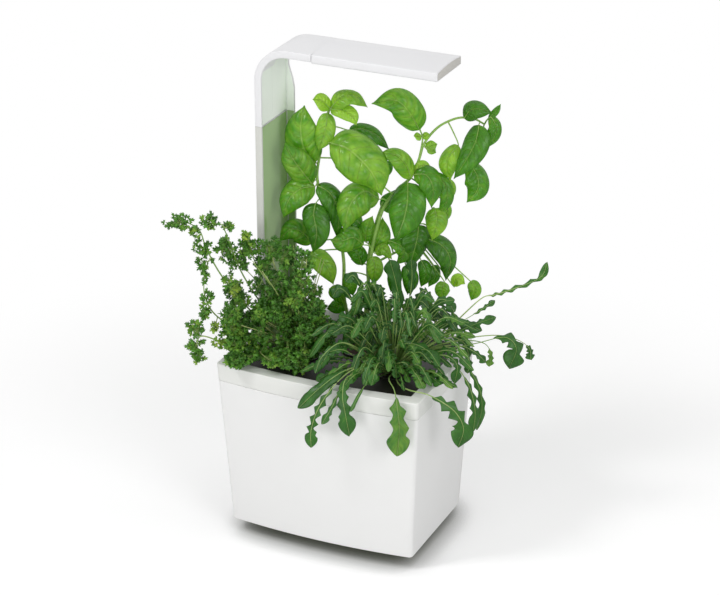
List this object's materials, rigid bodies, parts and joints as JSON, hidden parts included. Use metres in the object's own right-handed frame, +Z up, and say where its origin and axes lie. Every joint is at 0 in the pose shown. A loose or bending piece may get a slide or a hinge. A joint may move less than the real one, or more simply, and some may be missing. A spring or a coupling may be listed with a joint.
{
  "type": "countertop hydroponic garden",
  "caption": "White water-filled planter with growing pods of basil, parsley and rocket under a flat lamp on a side column.",
  "frame": {"origin": "middle of the underside that the garden stands on", "axes": "+Z up; the bowed front of the planter faces -Y; the lamp's column stands at -X"},
  "size_m": [0.3655, 0.2308, 0.5581],
  "materials": {
    "white_abs": "satin moulded white",
    "rim_abs": "satin moulded off-white",
    "dark_abs": "fine-grained black",
    "panel_gloss": "polished pale",
    "grey_abs": "satin grey",
    "frosted_pmma": "frosted",
    "mat_rubber": "matt",
    "zinc_steel": "zinc plated",
    "pin_brass": "plated",
    "board_green": "solder mask",
    "board_white": "white solder mask",
    "shaft_ceramic": "ground",
    "grow_foam": "open-celled dark foam",
    "basil_leaf": "glossy living leaf",
    "parsley_leaf": "curled living leaf",
    "rocket_leaf": "satin living leaf"
  },
  "bodies": {
    "planter": {"planter_shell": "white_abs", "base_foot": "white_abs", "anti_slip_mat": "mat_rubber", "base_screw_1": "zinc_steel", "base_screw_2": "zinc_steel", "base_screw_3": "zinc_steel", "base_screw_4": "zinc_steel"},
    "cover": {"rim_collar": "rim_abs", "planting_deck": "dark_abs", "deck_screw_1": "zinc_steel", "deck_screw_2": "zinc_steel", "deck_screw_3": "zinc_steel", "deck_screw_4": "zinc_steel", "lamp_socket": "dark_abs", "socket_pin_1": "pin_brass", "socket_pin_2": "pin_brass", "control_housing": "dark_abs", "control_board": "board_green", "dc_inlet": "dark_abs", "inlet_nut": "zinc_steel", "pump_body": "dark_abs", "pump_cover": "dark_abs", "impeller_shaft": "shaft_ceramic", "inlet_filter": "grow_foam", "riser_tube": "rim_abs", "float_guide": "rim_abs"},
    "impeller": {"pump_impeller": "rim_abs"},
    "float": {"level_float": "grey_abs"},
    "column": {"column_shell": "white_abs", "column_cover": "panel_gloss", "column_pin_1": "pin_brass", "column_pin_2": "pin_brass"},
    "lamp": {"arm_shell": "white_abs", "arm_cover": "panel_gloss", "head_shell": "white_abs", "head_end_cap": "grey_abs", "diffuser": "frosted_pmma", "led_board": "board_white", "board_screw_1": "zinc_steel", "board_screw_2": "zinc_steel"},
    "parsley_pod": {"pod_cup_1": "dark_abs", "grow_sponge_1": "grow_foam", "parsley_plant": "parsley_leaf"},
    "basil_pod": {"pod_cup_2": "dark_abs", "grow_sponge_2": "grow_foam", "basil_plant": "basil_leaf"},
    "rocket_pod": {"pod_cup_3": "dark_abs", "grow_sponge_3": "grow_foam", "rocket_plant": "rocket_leaf"}
  },
  "joints": [
    {"name": "cover_lift", "type": "slide", "parent": "planter", "child": "cover", "axis": [0, 0, 1], "range_m": [0, 0.17]},
    {"name": "column_lift", "type": "slide", "parent": "cover", "child": "column", "axis": [0, 0, 1], "range_m": [0, 0.03]},
    {"name": "lamp_lift", "type": "slide", "parent": "column", "child": "lamp", "axis": [0, 0, 1], "range_m": [0, 0.03]},
    {"name": "parsley_lift", "type": "slide", "parent": "cover", "child": "parsley_pod", "axis": [0, 0, 1], "range_m": [0, 0.034]},
    {"name": "basil_lift", "type": "slide", "parent": "cover", "child": "basil_pod", "axis": [0, 0, 1], "range_m": [0, 0.034]},
    {"name": "rocket_lift", "type": "slide", "parent": "cover", "child": "rocket_pod", "axis": [0, 0, 1], "range_m": [0, 0.034]},
    {"name": "impeller_spin", "type": "hinge", "parent": "cover", "child": "impeller", "pos_m": [0.03, 0.045, 0.04], "axis": [0, 1, 0], "continuous": true},
    {"name": "float_rise", "type": "slide", "parent": "cover", "child": "float", "axis": [0, 0, 1], "range_m": [0, 0.04]}
  ]
}
